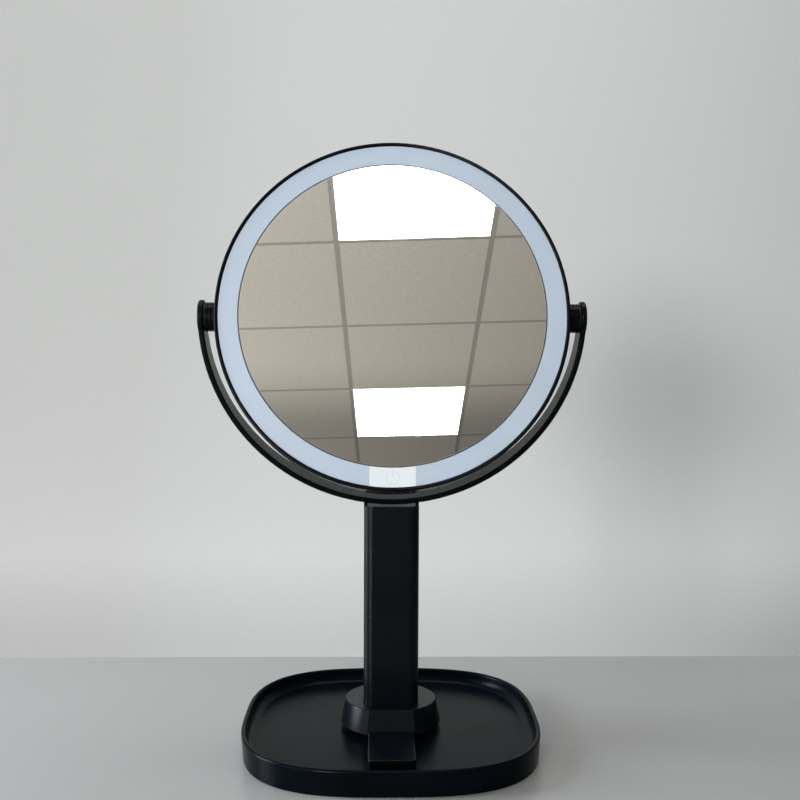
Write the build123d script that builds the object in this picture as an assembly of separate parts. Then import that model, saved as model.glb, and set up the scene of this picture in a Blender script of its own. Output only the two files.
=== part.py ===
from build123d import *
import os
from math import asin, cos, degrees, hypot, pi, radians, sin, sqrt

# Lighted table mirror: a square-round tray carries a post, the post carries a half-ring
# yoke, and the round two-sided head turns in the yoke on two side pivots.
# Millimetres, +Z up, -Y is the front. The origin is the centre of the tray on the table.

# ---- fits -----------------------------------------------------------------------------
seat_gap = 0.05              # between pieces that bear on each other
slip_gap = 0.15              # between a piece and the pocket it drops into
run_gap = 0.05               # radial running clearance of a turning pair

# ---- tray -----------------------------------------------------------------------------
tray_size = 172.0            # across the rim, both ways
tray_power = 2.95            # exponent of the square-round outline
tray_flare = 0.9             # how much the bottom edge stands inside the rim
rim_top = 14.4
rim_wall = 2.6
rim_round = 1.2
floor_top = 6.0
floor_thickness = 2.0
cove_radius = 5.0
wall_foot = 0.3              # the wall stops this far above the table
cover_bottom = 1.2
cover_thickness = 1.5
ballast_thickness = 1.1
ballast_inset = 7.0
corner_boss_inset = 32.0     # from the rim to the screw bosses, both ways
corner_boss_radius = 3.6
foot_radius = 6.5
foot_inset = 42.0
foot_recess = 0.4
screw_core = 1.2             # core of the small base screws
screw_head = 2.4

# ---- post and collar ------------------------------------------------------------------
post_width = 32.0
post_depth = 30.0
post_corner = 5.0
post_wall = 2.0
post_y = 4.5                 # the post stands a little behind the middle of the tray
plug_height = 24.0
collar_top = 22.5
collar_top_radius = 26.5
collar_belly_z = 9.1
collar_belly_radius = 29.5
collar_foot_radius = 22.5
collar_flat = 0.88           # distance of the front flat, as a share of the radius
post_bolt_radius = 3.0
post_bolt_length = 20.0
post_bolt_head_radius = 5.5
post_bolt_head_height = 1.7
post_washer_radius = 9.5
post_washer_thickness = 1.0

# ---- front block ----------------------------------------------------------------------
block_width = 26.0
block_inset = 23.0           # from the rim to the front of the block
block_top = 11.0
block_corner = 2.0
block_screw_radius = 1.25
block_screw_spacing = 24.0

# ---- yoke -----------------------------------------------------------------------------
pivot_y = -14.5
pivot_z = 247.5
yoke_clearance = 6.7         # between the head and the half ring round it
yoke_band = 3.2
yoke_width = 15.0
yoke_pad_radius = 9.6        # round ends of the two arms
tenon_size = (20.0, 10.0, 14.0)   # tongue under the yoke, held in the saddle
yoke_screw_radius = 1.5
yoke_screw_spacing = 11.0
yoke_screw_head = 2.8
saddle_height = 24.0

# ---- pivots ---------------------------------------------------------------------------
knuckle_radius = 8.2
knuckle_groove = 0.7
shaft_radius = 4.4
bush_wall = 0.8
neck_radius = 6.0
flange_radius = 7.6
flange_thickness = 1.6
friction_washer_radius = 7.4
friction_washer_thickness = 0.45
arm_web = 1.6                # wall of the arm that carries the bush
cap_radius = 7.0
cap_thickness = 0.6
cap_dome = 0.8
pivot_screw_radius = 1.5
pivot_screw_length = 7.0
pivot_screw_head = 5.5

# ---- head -----------------------------------------------------------------------------
head_tilt = 12.4             # leans back by this much in the stored pose
head_radius = 99.0
head_half = 13.0             # half of the head's thickness
shell_wall = 2.0
shell_round = 0.9
parting_groove = 0.25        # small groove round the head where the two shells meet
ring_width = 11.1            # of the light ring round the glass
glass_thickness = 3.0
glass_recess = 0.7           # glass and light ring lie this far behind the rim's edge
ring_gap = 0.2
diffuser_thickness = 2.0
diffuser_skirt = 2.1
glass_ledge = 6.6
ledge_thickness = 1.4
carrier_wall = 1.4
led_board_thickness = 1.2
led_count = 40
led_size = 2.8
led_height = 0.8
led_gap_angle = 9.0          # no chips behind the touch plate
touch_width = 25.3
touch_proud = 0.1
shell_ledge_width = 7.0
shell_ledge_thickness = 1.8
boss_count = 8
boss_radius = 3.1
boss_inset = 3.8
shell_screw_radius = 1.25
shell_screw_head = 2.2
shell_screw_length = 9.0
rear_bezel = 9.0             # flat border round the rear mirror
rear_mirror_curve = 800.0
rear_mirror_thickness = 2.0
rear_mirror_edge = 12.0
rear_floor = 1.5
battery_size = (52.0, 6.0, 34.0)
battery_centre_z = -22.0
board_size = (30.0, 1.2, 38.0)
board_front = 0.9            # front face of the control board
board_foot = 4.4             # lower edge of the board above the bottom of the head
board_screw_radius = 0.9
board_post_radius = 2.2
socket_size = (8.9, 3.2, 7.3)
socket_gap = 0.2

# ---- derived --------------------------------------------------------------------------
foot_size = tray_size - 2 * tray_flare
corner_boss_offset = tray_size / 2 - corner_boss_inset
foot_offset = tray_size / 2 - foot_inset
block_front = block_inset - tray_size / 2
yoke_inner = head_radius + yoke_clearance
yoke_radius = yoke_inner + yoke_band
lean = degrees(asin((post_y - pivot_y) / (yoke_radius - yoke_band / 2)))
floor_under = floor_top - floor_thickness
cover_top = cover_bottom + cover_thickness
knuckle_start = head_radius + 0.1
shell_inner = head_radius - shell_wall
glass_radius = shell_inner - ring_width
boss_circle = shell_inner - boss_inset
rear_mirror_radius = shell_inner - rear_bezel
ring_face = -head_half + glass_recess
diffuser_inner = glass_radius + ring_gap
diffuser_outer = shell_inner - ring_gap
glass_back = ring_face + glass_thickness
ledge_back = glass_back + ledge_thickness
skirt_outer = diffuser_inner + diffuser_skirt
platform_back = ledge_back + carrier_wall
flange_back = -3.0
flange_front = flange_back - carrier_wall
led_face = flange_front - led_board_thickness
rear_sag = rear_mirror_curve - sqrt(rear_mirror_curve**2 - rear_mirror_radius**2)
bush_outer = shaft_radius + run_gap + bush_wall


def in_head(part):
    """Moves a piece from the upright head, centred on the pivot line, to its stored tilt."""
    return Pos(0, pivot_y, pivot_z) * Rot(-head_tilt, 0, 0) * part


def in_yoke(part):
    """Moves a piece from the upright yoke, centred on the pivot line, to its place."""
    return Pos(0, pivot_y, pivot_z) * Rot(lean, 0, 0) * part


def along_x(radius, start, end):
    """A cylinder on the X axis between two X values."""
    return Pos((start + end) / 2, 0, 0) * Rot(0, 90, 0) * Cylinder(radius, abs(end - start))


def along_y(radius, start, end, x=0.0, z=0.0):
    """A cylinder along Y between two Y values."""
    return Pos(x, (start + end) / 2, z) * Rot(90, 0, 0) * Cylinder(radius, abs(end - start))


def along_z(radius, start, end, x=0.0, y=0.0):
    """A cylinder along Z between two Z values."""
    return Pos(x, y, (start + end) / 2) * Cylinder(radius, end - start)


def squircle(size, z, points=24):
    """Square-round face at one height: a smooth closed curve through points of the formula."""
    half = size / 2
    share = 2 / tray_power
    outline = []
    for step in range(points):
        angle = 2 * pi * step / points
        c, s = cos(angle), sin(angle)
        x = half * abs(c)**share * (1 if c >= 0 else -1)
        y = half * abs(s)**share * (1 if s >= 0 else -1)
        outline.append((x, y, z))
    return make_face(Spline(*outline, periodic=True))


def turned(*profile):
    """A ring or disc turned about the head's axis from (radius, y) corners."""
    corners = [(r, y, 0) for r, y in profile]
    face = make_face(Polyline(*corners, close=True))
    return revolve(face, Axis.Y)


def post_block(width, depth, corner, low, high):
    """A bar with the post's rounded section between two heights."""
    section = Pos(0, post_y, low) * RectangleRounded(width, depth, corner)
    return extrude(section, high - low)


def mirrored(part):
    """The same piece for the other side."""
    return mirror(part, Plane.YZ)


# ---- base -----------------------------------------------------------------------------
def corner_points(offset):
    return [(x * offset, y * offset) for x in (-1, 1) for y in (-1, 1)]


def make_tray():
    outer = loft([squircle(foot_size, wall_foot), squircle(tray_size, rim_top)], ruled=True)
    cavity = extrude(squircle(tray_size - 2 * rim_wall, floor_top), rim_top)
    cavity = fillet(cavity.edges().group_by(Axis.Z)[0], cove_radius)
    under = extrude(squircle(foot_size - 2 * rim_wall, wall_foot - 1), floor_under - wall_foot + 1)
    tray = outer - cavity - under
    rim = tray.faces().sort_by(Axis.Z)[-1].edges()
    tray = fillet(rim, rim_round)
    places = corner_points(corner_boss_offset)
    tray += [along_z(corner_boss_radius, cover_top, floor_under + 0.1, x, y) for x, y in places]
    tray -= [along_z(screw_core, cover_top - 1, floor_top - 1.0, x, y) for x, y in places]
    tray -= along_z(post_bolt_radius + slip_gap, 0, floor_top + 1, 0, post_y)
    for y in block_screw_places():
        tray -= along_z(block_screw_radius + slip_gap, 0, floor_top + 1, 0, y)
    return tray



def block_screw_places():
    middle = (block_front + block_back()) / 2
    return [middle - block_screw_spacing / 2, middle + block_screw_spacing / 2]


def block_back():
    return post_y - collar_flat * collar_belly_radius - slip_gap


def make_tray_cover():
    cover = extrude(squircle(foot_size - 2 * rim_wall - 2 * slip_gap, cover_bottom), cover_thickness)
    cover -= along_z(post_washer_radius + 1, 0, cover_top + 1, 0, post_y)
    for x, y in corner_points(corner_boss_offset):
        cover -= along_z(screw_core + slip_gap, 0, cover_top + 1, x, y)
        cover -= along_z(screw_head + slip_gap, 0, cover_bottom + 0.8, x, y)
    for x, y in corner_points(foot_offset):
        cover -= along_z(foot_radius + slip_gap, 0, cover_bottom + foot_recess, x, y)
    return cover


def make_ballast():
    size = foot_size - 2 * rim_wall - 2 * ballast_inset
    plate = extrude(squircle(size, cover_top + seat_gap), ballast_thickness)
    plate -= along_z(post_washer_radius + 1, 0, floor_top, 0, post_y)
    for x, y in corner_points(corner_boss_offset):
        plate -= along_z(corner_boss_radius + 0.5, 0, floor_top, x, y)
    for y in block_screw_places():
        plate -= along_z(screw_head + 0.6, 0, floor_top, 0, y)
    return plate


def base_screw(x, y, head_bottom, head_top, tip):
    head = along_z(screw_head, head_bottom, head_top, x, y)
    head -= Pos(x, y, head_bottom) * Box(0.6, 3.2, 0.8)
    head -= Pos(x, y, head_bottom) * Box(3.2, 0.6, 0.8)
    return head + along_z(screw_core - seat_gap, head_top - 0.1, tip, x, y)


def make_cover_screws():
    places = corner_points(corner_boss_offset)
    head = cover_bottom + 0.8 - seat_gap
    return [base_screw(x, y, cover_bottom - 0.1, head, floor_top - 1.2) for x, y in places]


def make_block_screws():
    head = floor_under - seat_gap
    return [base_screw(0, y, head - 1.0, head, block_top - 1.6) for y in block_screw_places()]


def make_feet():
    feet = []
    for x, y in corner_points(foot_offset):
        foot = along_z(foot_radius, 0, cover_bottom + foot_recess - seat_gap, x, y)
        feet.append(chamfer(foot.edges().group_by(Axis.Z)[0], 0.3))
    return feet


def collar_section(radius, z):
    """A round section with its front cut flat."""
    disc = Pos(0, post_y, z) * Circle(radius)
    reach = 2 * radius
    cut = Pos(0, post_y - collar_flat * radius - reach / 2, z) * Rectangle(2 * reach, reach)
    return disc - cut


def make_collar():
    lower = loft([collar_section(collar_foot_radius, floor_top),
                  collar_section(collar_belly_radius, collar_belly_z)], ruled=True)
    upper = loft([collar_section(collar_belly_radius, collar_belly_z),
                  collar_section(collar_top_radius, collar_top)], ruled=True)
    body = lower + upper
    body = fillet(body.faces().sort_by(Axis.Z)[-1].edges(), 0.6)
    socket = post_block(post_width + 2 * slip_gap, post_depth + 2 * slip_gap,
                        post_corner + slip_gap, floor_top - 1, collar_top + 1)
    return body - socket


def make_front_block():
    length = block_back() - block_front
    section = Pos(0, block_front + length / 2, floor_top) * RectangleRounded(
        block_width, length, block_corner)
    block = extrude(section, block_top - floor_top)
    block = fillet(block.faces().sort_by(Axis.Z)[-1].edges(), 0.7)
    for y in block_screw_places():
        block -= along_z(screw_core, floor_top - 1, block_top - 1.4, 0, y)
    return block


# ---- post -----------------------------------------------------------------------------
def yoke_cylinder(gap):
    """The space of the yoke's band as a full disc, used to shape what the yoke rests on."""
    return in_yoke(Rot(90, 0, 0) * Cylinder(yoke_radius + gap, yoke_width + 2 * gap))


def above_post(gap):
    """What is cut off the post: the band's own space, and all that stands before and behind it."""
    tilt = radians(lean)
    reach = post_depth + yoke_width
    edge_y = pivot_y - yoke_width / 2 * cos(tilt) + yoke_radius * sin(tilt)
    edge_z = pivot_z - yoke_width / 2 * sin(tilt) - yoke_radius * cos(tilt)
    before = Pos(0, edge_y - reach / 2 + 0.5, edge_z - gap + reach / 2) * Box(
        2 * post_width, reach, reach)
    behind = Pos(0, yoke_width / 2 + reach / 2 - 0.5, -yoke_radius - gap + reach / 2) * Box(
        2 * post_width, reach, reach)
    return yoke_cylinder(gap) + before + in_yoke(behind)


def post_top_limit():
    return pivot_z - yoke_radius * cos(radians(lean)) + yoke_band + 8


def make_post():
    outer = post_block(post_width, post_depth, post_corner, floor_top, post_top_limit())
    bore = post_block(post_width - 2 * post_wall, post_depth - 2 * post_wall,
                      post_corner - post_wall, floor_top - 1, post_top_limit() + 1)
    return outer - bore - above_post(slip_gap)


def make_post_plug():
    width = post_width - 2 * post_wall - 2 * slip_gap
    depth = post_depth - 2 * post_wall - 2 * slip_gap
    corner = post_corner - post_wall - slip_gap
    plug = post_block(width, depth, corner, floor_top, floor_top + plug_height)
    for side in (-1, 1):
        pocket = Pos(side * width * 0.31, post_y, floor_top + plug_height) * Box(
            width * 0.22, depth * 0.7, plug_height * 1.4)
        plug -= pocket
    bore_top = floor_top + post_bolt_length
    return plug - along_z(post_bolt_radius, floor_top - 1, bore_top, 0, post_y)


def make_post_washer():
    top = floor_under - seat_gap
    ring = along_z(post_washer_radius, top - post_washer_thickness, top, 0, post_y)
    return ring - along_z(post_bolt_radius + slip_gap, 0, floor_top, 0, post_y)


def make_post_bolt():
    head_top = floor_under - post_washer_thickness - 2 * seat_gap
    head_bottom = head_top - post_bolt_head_height
    head = along_z(post_bolt_head_radius, head_bottom, head_top, 0, post_y)
    head = chamfer(head.edges().group_by(Axis.Z)[0], 0.4)
    socket = Pos(0, post_y, head_bottom) * extrude(RegularPolygon(2.5, 6), 1.0)
    shank = along_z(post_bolt_radius - seat_gap, head_top - 0.1,
                    floor_top + post_bolt_length - 1, 0, post_y)
    return head - socket + shank


def make_yoke_saddle():
    width = post_width - 2 * post_wall - 2 * slip_gap
    depth = post_depth - 2 * post_wall - 2 * slip_gap
    corner = post_corner - post_wall - slip_gap
    saddle = post_block(width, depth, corner, saddle_foot(), post_top_limit())
    saddle -= above_post(slip_gap)
    saddle -= in_yoke(yoke_tenon(slip_gap))
    for x in yoke_screw_places():
        saddle -= along_z(yoke_screw_radius + slip_gap, saddle_foot() - 1, post_top_limit(),
                          x, tenon_middle())
    return saddle


def saddle_foot():
    return post_top_limit() - saddle_height - 8


# ---- yoke -----------------------------------------------------------------------------
def yoke_screw_places():
    return [-yoke_screw_spacing / 2, yoke_screw_spacing / 2]


def yoke_tenon(gap):
    """The tongue under the band, grown by a gap."""
    width, depth, length = tenon_size
    return Pos(0, 0, -yoke_radius - length / 2 + 1) * Box(
        width + 2 * gap, depth + 2 * gap, length + 2)


def tenon_middle():
    """Y of the middle of the tongue, where the upright screws enter it."""
    return pivot_y + (yoke_radius + tenon_size[2] / 2) * sin(radians(lean))


def make_yoke():
    ring = Cylinder(yoke_radius, yoke_width) - Cylinder(yoke_inner, yoke_width + 1)
    ring = Rot(90, 0, 0) * ring
    ring -= Pos(0, 0, yoke_radius) * Box(3 * yoke_radius, 3 * yoke_width, 2 * yoke_radius)
    long_edges = ring.edges().filter_by(GeomType.CIRCLE)
    ring = fillet(long_edges, 0.9)
    for side in (-1, 1):
        pad = along_x(yoke_pad_radius, side * yoke_inner, side * yoke_radius)
        pad = fillet(pad.edges().filter_by(GeomType.CIRCLE), 1.0)
        ring += pad
    for side in (-1, 1):
        step = side * (yoke_inner + arm_web)
        seat = side * (yoke_radius - cap_thickness)
        spot = yoke_inner - 1
        ring -= along_x(friction_washer_radius + slip_gap, side * spot, side * yoke_inner)
        ring -= along_x(bush_outer, side * spot, side * yoke_radius)
        ring -= along_x(pivot_screw_head + 0.5, step, side * (yoke_radius + 1))
        ring -= along_x(cap_radius, seat, side * (yoke_radius + 1))
    ring += yoke_tenon(0)
    yoke = in_yoke(ring)
    for x in yoke_screw_places():
        yoke -= along_z(yoke_screw_radius, saddle_foot(), yoke_screw_tip() + 0.5, x, tenon_middle())
    return yoke


def yoke_screw_tip():
    return pivot_z - (yoke_radius + 1.5) * cos(radians(lean))


def make_yoke_screws():
    screws = []
    seat = saddle_foot() - seat_gap
    for x in yoke_screw_places():
        head = along_z(yoke_screw_head, seat - 2, seat, x, tenon_middle())
        slot = Box(0.8, 4.0, 1.6) + Box(4.0, 0.8, 1.6)
        shank = along_z(yoke_screw_radius - seat_gap, seat - 0.1, yoke_screw_tip(), x,
                        tenon_middle())
        screws.append(head - Pos(x, tenon_middle(), seat - 2) * slot + shank)
    return screws


def make_bush():
    ring = along_x(bush_outer - seat_gap, yoke_inner, yoke_inner + arm_web)
    ring -= along_x(shaft_radius + run_gap, yoke_inner - 1, yoke_inner + arm_web + 1)
    return ring


def make_arm_cap():
    seat = yoke_radius - cap_thickness
    rim = seat + cap_thickness
    disc = along_x(cap_radius - seat_gap, seat + seat_gap, rim)
    swell = (cap_radius - seat_gap)**2 / (2 * cap_dome) + cap_dome / 2
    dome = Pos(rim + cap_dome - swell, 0, 0) * Sphere(swell)
    keep = along_x(cap_radius - seat_gap, rim - 0.1, rim + cap_dome + 1)
    return disc + (dome & keep)


# ---- pivots ---------------------------------------------------------------------------
def make_pivot_boss():
    flange_out = sqrt(shell_inner**2 - flange_radius**2) - seat_gap
    shoulder = yoke_inner - friction_washer_thickness - 2 * seat_gap
    boss = along_x(flange_radius, flange_out - flange_thickness, flange_out)
    boss += along_x(neck_radius - seat_gap, flange_out - 0.1, knuckle_start + 0.1)
    knuckle = along_x(knuckle_radius, knuckle_start, shoulder)
    knuckle = fillet(knuckle.edges().filter_by(GeomType.CIRCLE), 0.5)
    for share in (0.34, 0.66):
        middle = knuckle_start + share * (shoulder - knuckle_start)
        groove = along_x(knuckle_radius + 1, middle - knuckle_groove / 2, middle + knuckle_groove / 2)
        groove -= along_x(knuckle_radius - knuckle_groove, middle - 1, middle + 1)
        knuckle -= groove
    boss += knuckle
    boss += along_x(shaft_radius, shoulder - 0.1, yoke_inner + arm_web + seat_gap)
    core_start = yoke_inner + arm_web - pivot_screw_length
    return boss - along_x(pivot_screw_radius, core_start, yoke_radius)


def make_friction_washer():
    end = yoke_inner - seat_gap
    ring = along_x(friction_washer_radius, end - friction_washer_thickness, end)
    return ring - along_x(shaft_radius + slip_gap, end - 1, end + 1)


def make_pivot_screw():
    seat = yoke_inner + arm_web + 2 * seat_gap
    head = along_x(pivot_screw_head, seat, seat + 0.95)
    slot = Pos(seat + 0.95, 0, 0) * (Box(0.8, 5.0, 0.9) + Box(0.8, 0.9, 5.0))
    shank = along_x(pivot_screw_radius - seat_gap, seat - pivot_screw_length + 1, seat + 0.1)
    return head - slot + shank


def pivot_pocket(reach=0.0):
    """Room in the head for the flange that holds each pivot, up to the shell's wall or past it."""
    flange_out = sqrt(shell_inner**2 - flange_radius**2)
    depth = flange_thickness + 0.6 + reach
    across = 2 * flange_radius + 0.8
    room = Pos(flange_out + reach - depth / 2, 0, 0) * Box(depth, across, across)
    return room + mirrored(room)


def pivot_holes():
    """Round way for both pivot necks through the shell wall, split at the mid plane."""
    return along_x(neck_radius, -head_radius - 1, head_radius + 1)


# ---- head shells ----------------------------------------------------------------------
def boss_places():
    places = []
    for index in range(boss_count):
        angle = radians(360 / boss_count * (index + 0.5))
        places.append((boss_circle * cos(angle), boss_circle * sin(angle)))
    return places


def make_front_shell():
    wall = turned((shell_inner, -head_half), (head_radius, -head_half),
                  (head_radius, -parting_groove), (head_radius - parting_groove, 0),
                  (shell_inner, 0))
    front_edges = wall.edges().group_by(Axis.Y)[0]
    wall = fillet(front_edges, shell_round)
    ledge_inner = shell_inner - shell_ledge_width
    wall += turned((ledge_inner, flange_back), (shell_inner + 0.1, flange_back),
                   (shell_inner + 0.1, flange_back + shell_ledge_thickness),
                   (ledge_inner, flange_back + shell_ledge_thickness))
    wall += turned((shell_inner - 1.0, ring_face + diffuser_thickness + seat_gap),
                   (shell_inner + 0.1, ring_face + diffuser_thickness + seat_gap),
                   (shell_inner + 0.1, ring_face + diffuser_thickness + 1.2),
                   (shell_inner - 1.0, ring_face + diffuser_thickness + 1.2))
    wall -= along_x(neck_radius, -head_radius - 1, -shell_inner + 3)
    wall -= along_x(neck_radius, shell_inner - 3, head_radius + 1)
    wall -= pivot_pocket()
    for x, z in boss_places():
        wall -= along_y(shell_screw_radius + slip_gap, -head_half, 1, x, z)
    return in_head(wall)


def rear_arc(offset, radius):
    """Arc of the dished back, shifted along Y: from the axis out to a radius."""
    def depth(r):
        return rear_mirror_edge - rear_sag + offset + (
            rear_mirror_curve - sqrt(rear_mirror_curve**2 - r**2))
    return [(0, depth(0)), (radius / 2, depth(radius / 2)), (radius, depth(radius))]


def dished(front_offset, back_offset, radius):
    """A dished disc between two shifted arcs."""
    near = rear_arc(front_offset, radius)
    far = rear_arc(back_offset, radius)
    outline = ThreePointArc(*near) + Line(near[2], far[2]) + ThreePointArc(*reversed(far))
    outline += Line(far[0], near[0])
    return revolve(make_face(outline), Axis.Y)


def make_rear_shell():
    well = rear_mirror_radius + ring_gap
    step = well + 1.6
    floor_offset = -rear_mirror_thickness - seat_gap
    wall = turned((shell_inner, 0), (head_radius - parting_groove, 0),
                  (head_radius, parting_groove), (head_radius, head_half),
                  (shell_inner, head_half))
    wall = fillet(wall.edges().group_by(Axis.Y)[-1], shell_round)
    bezel_back = head_half - 0.5
    bezel = turned((well, bezel_back - 1.8), (shell_inner + 0.1, bezel_back - 1.8),
                   (shell_inner + 0.1, bezel_back), (well, bezel_back))
    floor_edge = rear_arc(floor_offset - rear_floor, well)[2][1]
    skirt = turned((well, floor_edge), (step, floor_edge), (step, bezel_back), (well, bezel_back))
    floor = dished(floor_offset, floor_offset - rear_floor, well + 0.1)
    shell = wall + bezel + skirt + floor
    for x, z in boss_places():
        shell += along_y(boss_radius, -seat_gap + flange_back + shell_ledge_thickness + 0.1,
                         bezel_back - 1.7, x, z)
    for x, z in boss_places():
        shell -= along_y(shell_screw_radius, flange_back, shell_screw_length - 3, x, z)
    board_back = board_front + board_size[1] + seat_gap
    for x, z in board_posts():
        reach = hypot(x, z)
        inner = rear_arc(floor_offset - rear_floor, reach)[2][1] if reach < well else bezel_back - 1.8
        shell += along_y(board_post_radius, board_back, inner + 0.4, x, z)
        shell -= along_y(board_screw_radius, board_back - 1, board_back + 3.2, x, z)
    shell -= along_x(neck_radius, -head_radius - 1, -shell_inner + 3)
    shell -= along_x(neck_radius, shell_inner - 3, head_radius + 1)
    shell -= pivot_pocket()
    shell -= socket_room()
    return in_head(shell)


def socket_room():
    """Room for the charging socket, open through the bottom of the rear shell."""
    width, height, depth = socket_size
    middle = board_front + board_size[1] + height / 2 + seat_gap
    top = -head_radius + 0.5 + depth
    return Pos(0, middle, (top - head_radius) / 2) * Box(
        width + 2 * socket_gap, height + 2 * socket_gap, top + head_radius)



# ---- head contents --------------------------------------------------------------------
def make_front_glass():
    glass = along_y(glass_radius, ring_face, glass_back)
    glass = chamfer(glass.edges().group_by(Axis.Y)[0], 0.4)
    return in_head(glass)


def touch_cutter(gap):
    """The window across the light ring that the touch plate fills, grown by a gap."""
    height = diffuser_outer - diffuser_inner + 6
    middle = -(diffuser_inner + height / 2 - 1)
    return Pos(0, ring_face + diffuser_thickness / 2 - 0.5, middle) * Box(
        touch_width + 2 * gap, diffuser_thickness + 1, height)


def make_diffuser_ring():
    back = ring_face + diffuser_thickness
    ring = turned((diffuser_inner, ring_face), (diffuser_outer, ring_face),
                  (diffuser_outer, back), (skirt_outer, back), (skirt_outer, ledge_back),
                  (glass_radius - glass_ledge, ledge_back),
                  (glass_radius - glass_ledge, glass_back + seat_gap),
                  (diffuser_inner, glass_back + seat_gap))
    ring -= touch_cutter(seat_gap)
    return in_head(ring)


def make_touch_plate():
    back = ring_face + diffuser_thickness - seat_gap
    front = ring_face - touch_proud
    plate = turned((diffuser_inner, front), (diffuser_outer, front), (diffuser_outer, back),
                   (diffuser_inner, back))
    window = Pos(0, 0, -head_radius) * Box(touch_width, 4 * head_half, head_radius)
    return in_head(plate & window)


def make_touch_board():
    front = ring_face + diffuser_thickness
    middle = -(skirt_outer + diffuser_outer) / 2 + 0.5
    height = diffuser_outer - skirt_outer - 3.2
    board = Pos(0, front + 0.6, middle) * Box(touch_width - 4, 1.1, height)
    board += Pos(0, front + 1.5, middle) * Box(5, 1.0, 3)
    return in_head(board)


def make_glass_pad():
    return in_head(along_y(glass_radius - glass_ledge - 1, glass_back + seat_gap, ledge_back))


def make_carrier_plate():
    platform = skirt_outer
    edge = shell_inner - ring_gap
    plate = turned((0, ledge_back + seat_gap), (platform, ledge_back + seat_gap),
                   (platform, flange_front), (edge, flange_front), (edge, flange_back),
                   (platform - carrier_wall, flange_back), (platform - carrier_wall, platform_back),
                   (0, platform_back))
    plate -= pivot_pocket(shell_wall)
    for x, z in boss_places():
        sink = Pos(x, flange_front + 0.7, z) * Rot(90, 0, 0) * Cone(
            shell_screw_radius + slip_gap, shell_screw_head + slip_gap, 1.4)
        plate -= sink
        plate -= along_y(shell_screw_radius + slip_gap, flange_front - 1, 0, x, z)
    for angle in range(0, 180, 45):
        rib = Pos(0, platform_back + 0.55, 0) * Rot(0, angle, 0) * Box(2 * platform - 6, 1.3, 1.4)
        room = Pos(0, 0, battery_centre_z) * Box(
            battery_size[0] + 3, 4 * head_half, battery_size[2] + 3)
        plate += rib - room
    return in_head(plate)



def make_led_board():
    inner = skirt_outer + 0.3
    outer = shell_inner - 1.5
    board = turned((inner, led_face), (outer, led_face), (outer, flange_front - seat_gap),
                   (inner, flange_front - seat_gap))
    board -= pivot_pocket(shell_wall)
    return in_head(board)


def make_led_chips():
    middle = (skirt_outer + shell_inner - 1.2) / 2
    chips = []
    for index in range(led_count):
        angle = 360 / led_count * (index + 0.5)
        if abs(angle - 270) < led_gap_angle:
            continue
        chip = Pos(middle, led_face - led_height / 2 - 0.01, 0) * Box(led_size, led_height, 3.4)
        chips.append(in_head(Rot(0, -angle, 0) * chip))
    return chips


def make_shell_screws():
    screws = []
    for x, z in boss_places():
        head = Pos(x, flange_front + 0.65, z) * Rot(90, 0, 0) * Cone(
            shell_screw_radius, shell_screw_head, 1.2)
        shank = along_y(shell_screw_radius - seat_gap, flange_front + 1.2,
                        shell_screw_length - 4, x, z)
        screws.append(in_head(head + shank))
    return screws


def make_battery():
    width, thickness, height = battery_size
    front = platform_back + seat_gap
    cell = Pos(0, front + thickness / 2, battery_centre_z) * Box(width, thickness, height)
    cell = fillet(cell.edges().filter_by(Axis.Z), thickness / 2 - 0.4)
    return in_head(cell)


def make_control_board():
    width, thickness, height = board_size
    low = -head_radius + board_foot
    board = Pos(0, board_front + thickness / 2, low + height / 2) * Box(width, thickness, height)
    parts = [(-8, 22, 5, 1.6, 5), (7, 20, 4, 1.2, 4), (8, 29, 6, 1.4, 4), (-8, 31, 3, 1.0, 6)]
    for x, z, across, rise, up in parts:
        board += Pos(x, board_front - rise / 2 + 0.01, low + z) * Box(across, rise, up)
    for x, z in board_posts():
        board -= along_y(board_screw_radius + slip_gap, board_front - 1, board_front + 2, x, z)
    return in_head(board)


def board_posts():
    """Where the control board is screwed to the rear shell."""
    width, thickness, height = board_size
    low = -head_radius + board_foot
    return [(side * (width / 2 - 2.6), low + z) for side in (-1, 1) for z in (2.6, height - 2.6)]


def make_board_screws():
    screws = []
    for x, z in board_posts():
        head = along_y(1.7, board_front - 1.0, board_front - seat_gap, x, z)
        head -= Pos(x, board_front - 1.0, z) * (Box(0.5, 0.8, 2.4) + Box(2.4, 0.8, 0.5))
        shank = along_y(board_screw_radius - seat_gap, board_front - 0.2, board_front + 4.2, x, z)
        screws.append(in_head(head + shank))
    return screws


def make_charge_socket():
    width, height, depth = socket_size
    back = board_front + board_size[1] + seat_gap
    low = -head_radius + 0.5
    body = Pos(0, back + height / 2, low + depth / 2) * Box(width, height, depth)
    body = fillet(body.edges().filter_by(Axis.Z), height / 2 - 0.1)
    mouth = Pos(0, back + height / 2, low + depth / 2 - 1.2) * Box(width - 0.7, height - 0.7, depth)
    mouth = fillet(mouth.edges().filter_by(Axis.Z), (height - 0.7) / 2 - 0.1)
    tongue = Pos(0, back + height / 2, low + depth / 2 + 0.3) * Box(width - 2.2, 0.7, depth - 1.0)
    return in_head(body - mouth + tongue)


def make_rear_mirror():
    return in_head(dished(0, -rear_mirror_thickness, rear_mirror_radius))


# ---- export ---------------------------------------------------------------------------
def side_pair(name, part, place):
    """Right and left copies of a piece that is drawn on the right."""
    return {name + "_right": place(part), name + "_left": place(mirrored(part))}


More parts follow.
